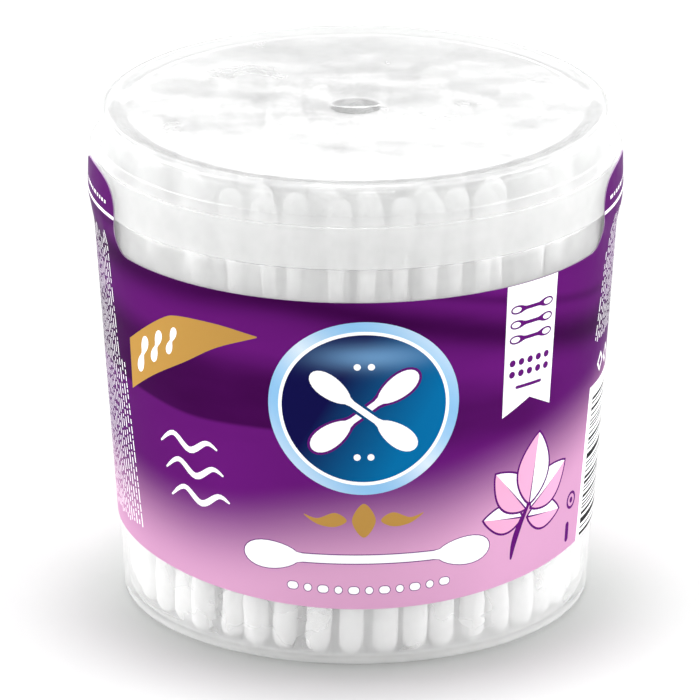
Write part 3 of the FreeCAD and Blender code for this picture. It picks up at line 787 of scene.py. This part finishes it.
def draw_front():
    rng = random.Random(5)
    outline = wrap_outline()
    art = Drawing(outline, SATIN)

    # gold pennant
    low = [(-61.4, 39.6), (-51.5, 44.0), (-41.3, 48.0), (-31.9, 51.9), (-21.9, 54.7)]
    high = [(-22.0, 54.9), (-31.6, 55.8), (-42.4, 55.5), (-48.4, 53.9), (-61.0, 48.1)]
    fold = lambda pts: [(U(a - 1.9), z) for a, z in pts]
    art.add(GOLD, spline(fold(low), 6) + spline(fold(high), 6))
    for a, z, length, tip in ((-55.6, 46.6, 7.0, 1.9), (-50.2, 49.0, 6.2, 1.7), (-45.0, 50.9, 5.2, 1.45)):
        art.swab(WHITE, U(a - 1.9), z, length, tip, math.radians(68), stick=0.34)

    # round medallion
    art.disc(PALE, 0.0, MED_Z, 14.9, 14.5, 96)
    art.disc(WHITE, 0.0, MED_Z, 13.3, 12.9, 96)
    art.disc(BLUE, 0.0, MED_Z, 12.75, 12.35, 96)
    for turn in (math.radians(38), math.radians(-38)):
        art.swab(PURPLE if turn > 0 else BLUE, 0.0, MED_Z - 0.6, 20.6, 4.3, turn, grow=0.45)
        art.swab(WHITE, 0.0, MED_Z - 0.6, 20.6, 4.3, turn)
    for k in range(8):
        t = 2 * math.pi * k / 8 + math.pi / 8
        if abs(math.sin(t)) > 0.5:
            art.disc(WHITE, 3.1 * math.cos(t) * 0.9, MED_Z - 0.6 + 8.2 * math.sin(t), 0.55, n=14)

    # white ribbon with a swallow tail, and swab drawings
    l, r = U(33.0), U(47.5)
    art.add(WHITE, [(l, 39.5), (U(40.7), 42.0), (r, 39.7), (r + 0.1, WRAP_TOP_Z - 0.05), (l - 0.1, WRAP_TOP_Z - 0.05)])
    mid = (l + r) / 2
    for k, z in enumerate((57.3, 54.8, 52.3)):
        art.swab(PURPLE, mid, z, 8.6, 1.7, 0.0, stick=0.36)
        for side in (1, -1):
            art.disc(WHITE, mid + side * 3.15, z, 0.86, 0.46, 16)
    for row in range(2):
        for col in range(5):
            art.disc(PURPLE, mid + (col - 2) * 1.75, 48.4 - row * 1.9, 0.58, n=16)
    art.capsule(PURPLE, mid, 44.2, 5.4, 0.55)

    # a fan of five leaves on a stem
    stem = [(U(37.6), 14.9), (U(38.3), 17.6), (U(40.0), 20.6), (U(42.6), 23.6)]
    for a, z, ln, w, t, f in (
        (41.0, 21.6, 8.6, 5.4, 172, 1), (41.8, 21.4, 8.8, 5.4, -6, -1),
        (42.0, 22.6, 10.6, 6.6, 132, 1), (42.8, 22.6, 10.8, 6.6, 34, -1), (42.6, 23.2, 12.6, 7.6, 83, 1),
    ):
        leaf(art, U(a), z, ln, w, math.radians(t), f)
    art.stroke(PURPLE, stem, 1.25)

    # gold ornament
    art.add(GOLD, spline([(-1.9, 25.0), (0.0, 27.9), (1.9, 25.0), (0.0, 22.1)], 8, True))
    for s in (1, -1):
        art.add(GOLD, spline([(s * 2.7, 25.0), (s * 4.6, 26.3), (s * 7.4, 25.3), (s * 9.6, 25.9), (s * 7.4, 24.3), (s * 4.6, 23.9)], 7, True))

    # long white swab
    art.swab(PURPLE, 0.8, 18.4, 41.2, 5.4, 0.0, grow=0.16, stick=0.26)
    art.swab(WHITE, 0.8, 18.4, 41.2, 5.4, 0.0, stick=0.26)

    # row of small white pips
    for k in range(11):
        x = 0.9 + (k - 5) * 2.5
        z = 13.1 + 0.0035 * x * x
        if k % 2:
            art.disc(PURPLE, x, z, 0.74, n=16)
            art.disc(WHITE, x, z, 0.62, n=16)
        else:
            art.capsule(PURPLE, x, z, 2.0, 1.48)
            art.capsule(WHITE, x, z, 1.76, 1.24)

    # three soft strokes
    for k, z in enumerate((33.2, 29.0, 24.6)):
        a0 = -52.5 + k * 1.4
        art.stroke(WHITE, [(U(a0), z), (U(a0 + 4.5), z + 2.1), (U(a0 + 9.5), z + 0.1), (U(a0 + 14.5), z + 2.0), (U(a0 + 17.5), z + 1.2)], 1.05)

    # small marks
    art.disc(PURPLE, U(59.9), 20.6, 1.5, n=28)
    art.disc(SATIN, U(59.9), 20.6, 1.05, n=28)
    art.disc(PURPLE, U(59.9), 20.6, 0.5, n=16)
    art.capsule(PURPLE, U(58.8), 15.4, 3.4, 1.1, math.radians(90))
    for k in range(2):
        art.bar(WHITE, U(73.2 + 6 * k), 40.9, 2.5, 2.5, math.radians(45))
        art.bar(SATIN, U(73.2 + 6 * k), 40.9, 1.5, 1.5, math.radians(45))

    # fine print beside and under the tongues
    greek(art, -63.3, -120.0, -1, 15.4, lambda k: 43.4 if k < 2 else 62.4 if k < 15 else 59.0, -0.13, rng)
    greek(art, 67.7, 121.0, 1, 45.0, lambda k: 65.3 if 0 < k < 11 else 59.0, 0.24, rng)
    # white panel with plain bars
    art.add(WHITE, [(U(64.3), 11.3), (U(92.0), 12.2), (U(94.2), 37.9), (U(66.5), 37.9)])
    z = 12.9
    while z < 36.0:
        h = rng.choice((0.3, 0.3, 0.55, 0.55, 0.95))
        left = 66.3 + (z - 12.0) * 0.11
        art.add(BLACK, [(U(left), z), (U(90.0), z), (U(90.0), z + h), (U(left), z + h)])
        z += h + rng.choice((0.26, 0.3, 0.5, 0.6))
    return art


def draw_seal(side):
    rng = random.Random(9 + side)
    art = Drawing(seal_outline(side), SATIN)
    mid = side * TONGUE_AT * R0
    # white tear line
    art.add(WHITE, [(mid - 9.6, 67.2), (mid + 9.6, 67.2), (mid + 9.6, 67.75), (mid - 9.6, 67.75)])
    u = mid - 6.4
    while u < mid + 5.6:
        w = rng.choice((0.6, 0.9, 1.3))
        art.bar(WHITE, u + w / 2, 69.2, w, 0.55)
        u += w + 0.55
    return art


def film_meshes(name, art, part, grid_z):
    """Cuts one sheet into its printed fields and bends it round the tub: the film itself and, in its holes, the inks."""
    points, faces, slots = [], [], []
    for slot, poly in art.fields:
        start = len(points)
        points += poly
        faces.append(list(range(start, start + len(poly))))
        slots.append(slot)
    us = [p[0] for p in art.fields[0][1]]
    lo, hi = min(us), max(us)
    count = max(2, int((hi - lo) / 1.35))
    for i in range(1, count):
        for k, z in enumerate(grid_z):
            points.append((lo + (hi - lo) * (i + (0.5 if k % 2 else 0.0) * 0.6) / count, z + 0.011 * (i % 7)))
    out = geometry.delaunay_2d_cdt([Vector(p) for p in points], [], faces, 1, 1e-5, True)
    flat, tris, owners = out[0], out[2], out[5]
    front, back = [], []
    for p in flat:
        a = p.x / R0 + WRAP_TURN
        r = film_radius(p.y, part)
        for target, rr in ((front, r), (back, r - FILM_T)):
            target.append((rr * MM * math.sin(a), -rr * MM * math.cos(a), p.y * MM))
    n = len(front)
    groups = {"film": ([], []), "print": ([], [])}
    edge_use = {}
    for tri, owner in zip(tris, owners):
        if len(tri) < 3 or 0 not in owner:
            continue
        slot = slots[max(owner)]
        area = sum(flat[a].x * flat[b].y - flat[b].x * flat[a].y for a, b in zip(tri, list(tri[1:]) + [tri[0]]))
        tri = list(tri) if area > 0 else list(tri)[::-1]
        key = "film" if slot >= 10 else "print"
        groups[key][0].append(tuple(tri))
        groups[key][1].append(slot - 10 if slot >= 10 else slot)
        groups["film"][0].append(tuple(n + v for v in reversed(tri)))
        groups["film"][1].append(BACK - 10)
        for a, b in zip(tri, tri[1:] + tri[:1]):
            edge_use[(a, b)] = edge_use.get((a, b), 0) + 1
    for (a, b) in edge_use:
        if (b, a) not in edge_use:
            groups["film"][0].append((b, a, n + a, n + b))
            groups["film"][1].append(EDGE - 10)
    verts = front + back
    made = []
    for key in ("film", "print"):
        fs, ss = groups[key]
        used = sorted({v for f in fs for v in f})
        where = {v: i for i, v in enumerate(used)}
        made.append(make_object(
            f"{name}_{key}", [verts[v] for v in used], [tuple(where[v] for v in f) for f in fs],
            FILM_MATS if key == "film" else INK_MATS, ss, sharp=60.0,
        ))
    return made


def make_lap():
    """The wrap's overlapped end at the back."""
    verts, faces = [], []
    a0, a1, steps = 178.0, 186.0, 16
    zs = [0.0, 0.25, 0.5, 0.75, 1.0]
    for layer in (2 * FILM_T, FILM_T):
        for i in range(steps + 1):
            a = math.radians(a0 + (a1 - a0) * i / steps)
            low = lower_edge(a * R0)
            for t in zs:
                z = low + (WRAP_TOP_Z - low) * t
                r = wall_r(z) + FILM_GAP + layer
                verts.append((r * MM * math.sin(a + WRAP_TURN), -r * MM * math.cos(a + WRAP_TURN), z * MM))
    m = len(zs)
    n = (steps + 1) * m
    for i in range(steps):
        for k in range(m - 1):
            q = (i * m + k, (i + 1) * m + k, (i + 1) * m + k + 1, i * m + k + 1)
            faces.append(q)
            faces.append(tuple(n + v for v in reversed(q)))
    ring = [i * m for i in range(steps + 1)] + [steps * m + k for k in range(1, m)]
    ring += [i * m + m - 1 for i in range(steps - 1, -1, -1)] + [k for k in range(m - 2, 0, -1)]
    for a, b in zip(ring, ring[1:] + ring[:1]):
        faces.append((b, a, n + a, n + b))
    ob = make_object("wrap_lap", verts, faces, [FILM_MATS[0]], sharp=60.0)
    check_outward(ob)
    return ob


# ---------------------------------------------------------------------------
# Swabs
# ---------------------------------------------------------------------------
def swab_frame(x0, y0, x1, y1):
    dx, dy = x1 - x0, y1 - y0
    way = Vector((dx, dy, math.sqrt(SWAB_L ** 2 - dx * dx - dy * dy))).normalized()
    start = Vector((x0, y0, FLOOR_TOP + 0.02 + TIP_END_H * (1 - way.z)))
    return start, Vector((0, 0, 1)).rotation_difference(way), way


TIP_RINGS = [0.0, 0.06, 0.22, 0.5, 0.9, 1.4, 2.0, 2.7, 3.4, 4.1, 4.8, 5.5, 6.2, 6.9, 7.6, 8.3, 9.0, 9.7, 10.4, 11.1, 11.8, 12.4, 12.9, 13.3, 13.5]


def tip_radius(s, end_h):
    if s < end_h:
        return TIP_R * math.sqrt(max(0.0, 1 - (1 - s / end_h) ** 2)) * 0.985
    if s < 6.5:
        return TIP_R * 0.985
    t = (s - 6.5) / 7.0
    return TIP_R * 0.985 - (TIP_R * 0.985 - 1.22) * (t * t * (3 - 2 * t) * 0.75 + 0.25 * t)


def make_tips(name, which, material):
    segs = 28
    verts, faces = [], []
    rng = random.Random(31 + which)
    for i, row in enumerate(SWABS):
        start, turn, way = swab_frame(*row)
        spin = rng.uniform(0, 2 * math.pi)
        fat = rng.uniform(0.94, 1.0)
        end_h = rng.uniform(2.0, 2.9)
        pitch = rng.uniform(2.6, 3.6)
        seed = Vector((i * 7.31, which * 53.7, rng.uniform(0, 20)))
        base = len(verts)
        rows = []
        for k, s in enumerate(TIP_RINGS):
            r = tip_radius(s, end_h) * fat
            axial = s if which == 0 else SWAB_L - s
            if k == 0:
                rows.append([len(verts)])
                verts.append((start + turn @ Vector((0, 0, axial))) * MM)
                continue
            ring = []
            for j in range(segs):
                a = 2 * math.pi * j / segs
                local = Vector((r * math.cos(a), r * math.sin(a), s))
                soft = 1.0 if s < 12.0 else max(0.0, (13.5 - s) / 1.5)
                lump = noise.noise(local * 0.42 + seed) * 0.13 + noise.noise(local * 1.3 + seed) * 0.055
                wind = math.sin(3 * a + 2 * math.pi * s / pitch + spin) * 0.022
                rr = min(r + (lump + wind - 0.04) * soft * min(1.0, s / 0.8), TIP_R + 0.03)
                v = Vector((rr * math.cos(a + spin), rr * math.sin(a + spin), axial))
                ring.append(len(verts))
                verts.append((start + turn @ v) * MM)
            rows.append(ring)
        rows.append([len(verts)])
        axial = TIP_L if which == 0 else SWAB_L - TIP_L
        verts.append((start + turn @ Vector((0, 0, axial))) * MM)
        flip = which == 0
        for a, b in zip(rows, rows[1:]):
            for j in range(segs):
                q = (j + 1) % segs
                if len(a) == 1:
                    f = (a[0], b[q], b[j])
                elif len(b) == 1:
                    f = (a[j], a[q], b[0])
                else:
                    f = (a[j], a[q], b[q], b[j])
                faces.append(f if flip else tuple(reversed(f)))
    ob = make_object(name, verts, faces, [material], sharp=80.0)
    check_outward(ob)
    return ob


def make_sticks(material):
    segs = 20
    zs = [TIP_L - 1.0, 22.0, 32.0, 42.0, 52.0, SWAB_L - TIP_L + 1.0]
    verts, faces = [], []
    for row in SWABS:
        start, turn, way = swab_frame(*row)
        rows = []
        for z in zs:
            ring = []
            for j in range(segs):
                a = 2 * math.pi * j / segs
                ring.append(len(verts))
                verts.append((start + turn @ Vector((STICK_R * math.cos(a), STICK_R * math.sin(a), z))) * MM)
            rows.append(ring)
        for a, b in zip(rows, rows[1:]):
            for j in range(segs):
                q = (j + 1) % segs
                faces.append((a[j], a[q], b[q], b[j]))
        faces.append(tuple(reversed(rows[0])))
        faces.append(tuple(rows[-1]))
    return make_object("swab_stick_set", verts, faces, [material], sharp=50.0)


# ---------------------------------------------------------------------------
# Build
# ---------------------------------------------------------------------------
WORLD_LOW, WORLD_HIGH, SUN = 2.35, 0.36, 3.3
FRONT, BACK_DROP, SIDES, ENDS, PANEL = 0.28, 0.14, 1.1, 2.9, 3.0
# how bright the studio is in front, how much less behind, how much more at the sides, and its panel high behind
TUB_MAT = clear_plastic("clear_tub_plastic", 0.25, 0.07, 0.0006, wall=60.0)
# the lid's milk tone of 0.86, greyer than the tub's, is painted shade against the overhead light
LID_MAT_PAINTED_SHADE = clear_plastic("clear_lid_plastic_painted_shade", 0.46, 0.06, 0.0002, tone=0.86, gate=GATE_R)
FILM_MATS = [satin_film(), medallion_blue(), pale_ring(), ink("film_underside", (0.80, 0.78, 0.80, 1.0), 0.4), ink("film_cut_edge", (0.42, 0.30, 0.46, 1.0), 0.4)]
INK_MATS = [
    ink("ink_white", (0.93, 0.93, 0.94, 1.0)),
    ink("ink_gold", srgb(174, 133, 67)),
    ink("ink_purple", srgb(88, 21, 104)),
    ink("ink_pink", srgb(222, 160, 194)),
    ink("ink_black", srgb(28, 26, 28)),
]

tub = make_tub(TUB_MAT)
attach(tub, "tub"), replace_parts(tub, "tub"), tub
lid = make_lid(LID_MAT_PAINTED_SHADE)
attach(lid, "lid"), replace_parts(lid, "lid"), lid

wrap_grid = [12.5 + 3.3 * k for k in range(16)]
film, prints = film_meshes("wrap", draw_front(), "wrap", wrap_grid)
lap = make_lap()
for ob in (film, prints, lap):
    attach(ob, "tub"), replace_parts(ob, "label_wrap"), ob
for side, word in ((-1, "left"), (1, "right")):
    pair = film_meshes(f"seal_{word}", draw_seal(side), "seal", [68.9, 70.1, 71.4, 72.6])
    for ob in pair:
        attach(ob, "lid"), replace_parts(ob, f"seal_tab_{word}"), ob

COTTON, PAPER = cotton(), paper()
for which, name in ((0, "cotton_tips_lower"), (1, "cotton_tips_upper")):
    ob = make_tips(name, which, COTTON)
    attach(ob, "tub"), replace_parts(ob, "cotton_tips"), ob
sticks = make_sticks(PAPER)
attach(sticks, "tub"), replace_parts(sticks, "swab_sticks"), sticks


# ---------------------------------------------------------------------------
# Floor, light and camera
# ---------------------------------------------------------------------------
def floor_material():
    n = Nodes("pale_floor")
    grain = n.noise(6.0, 3.0, 0.5)
    tint = n.mix(grain, (0.606, 0.613, 0.607, 1.0), (0.614, 0.621, 0.615, 1.0))
    p = n.add("ShaderNodeBsdfPrincipled", {"Base Color": tint, "Roughness": 0.85, "Specular IOR Level": 0.1})
    n.put(n.out.inputs["Surface"], p.outputs[0])
    return n.mat


size = 6.0
floor = make_object("floor", [(-size, -size, -0.00003), (size, -size, -0.00003), (size, size, -0.00003), (-size, size, -0.00003)], [(0, 1, 2, 3)], [floor_material()])

world = bpy.data.worlds.new("studio")
bpy.context.scene.world = world
world.use_nodes = True
sky = world.node_tree
background = sky.nodes["Background"]
background.inputs[0].default_value = (1.0, 1.0, 1.0, 1.0)
where = sky.nodes.new("ShaderNodeTexCoord")
parts = sky.nodes.new("ShaderNodeSeparateXYZ")
ramp = sky.nodes.new("ShaderNodeMapRange")
ramp.interpolation_type = "SMOOTHSTEP"
for k, v in (("From Min", 0.0), ("From Max", 0.6), ("To Min", WORLD_LOW), ("To Max", WORLD_HIGH)):
    ramp.inputs[k].default_value = v
sky.links.new(where.outputs["Generated"], parts.inputs[0])
sky.links.new(parts.outputs[2], ramp.inputs["Value"])


def sky_maths(operation, a, b, c=0.0):
    n = sky.nodes.new("ShaderNodeMath")
    n.operation = operation
    for k, v in enumerate((a, b, c)):
        if isinstance(v, bpy.types.NodeSocket):
            sky.links.new(v, n.inputs[k])
        else:
            n.inputs[k].default_value = v
    return n.outputs[0]


def sky_step(value, a, b):
    n = sky.nodes.new("ShaderNodeMapRange")
    n.interpolation_type = "SMOOTHSTEP"
    n.inputs["From Min"].default_value, n.inputs["From Max"].default_value = a, b
    sky.links.new(value, n.inputs["Value"])
    return n.outputs[0]


wx, wy, wz = parts.outputs
across = sky_maths("MULTIPLY", wx, wx)
turn = sky_maths("MULTIPLY_ADD", across, SIDES, FRONT)
turn = sky_maths("MULTIPLY_ADD", sky_maths("MULTIPLY", across, across), ENDS, turn)
turn = sky_maths("MULTIPLY_ADD", wy, -BACK_DROP, turn)
panel = sky_maths("MULTIPLY", sky_step(wz, 0.3172, 0.3217), sky_step(wz, 0.39, 0.36))
panel = sky_maths("MULTIPLY", panel, sky_step(wy, 0.70, 0.85))
light = sky_maths("MULTIPLY_ADD", panel, PANEL, sky_maths("MULTIPLY", ramp.outputs[0], turn))
sky.links.new(light, background.inputs[1])

lamp = bpy.data.lights.new("overhead", "SUN")
lamp.energy = SUN
lamp.angle = math.radians(22)
overhead = bpy.data.objects.new("overhead", lamp)
overhead.rotation_euler = (math.radians(-6.8), 0.0, 0.0)
bpy.context.scene.collection.objects.link(overhead)

FOCAL, DISTANCE, RISE = 8738.25, 1.37938, 0.351583
target = Vector((0.0, 0.0, 0.0389340))
cam_data = bpy.data.cameras.new("photo_camera")
cam_data.sensor_width = 36.0
cam_data.lens = FOCAL / 700.0 * 36.0
cam_data.shift_x = -5.61 / 700.0
cam_data.clip_start, cam_data.clip_end = 0.05, 20.0
cam = bpy.data.objects.new("photo_camera", cam_data)
cam.location = target + Vector((0.0, -math.cos(RISE), math.sin(RISE))) * DISTANCE
cam.rotation_euler = (target - cam.location).to_track_quat("-Z", "Y").to_euler()
bpy.context.scene.collection.objects.link(cam)
bpy.context.scene.camera = cam

scene = bpy.context.scene
scene.view_settings.view_transform = "Standard"
scene.view_settings.look = "None"
scene.cycles.max_bounces = 16
scene.cycles.diffuse_bounces = 7
scene.cycles.glossy_bounces = 5
scene.cycles.transparent_max_bounces = 34

for o in bpy.data.objects:
    if o.type == "MESH" and not o.hide_render and o.name not in ("floor",):
        print("PIECE", o.name, sum(len(p.vertices) - 2 for p in o.data.polygons), "triangles")
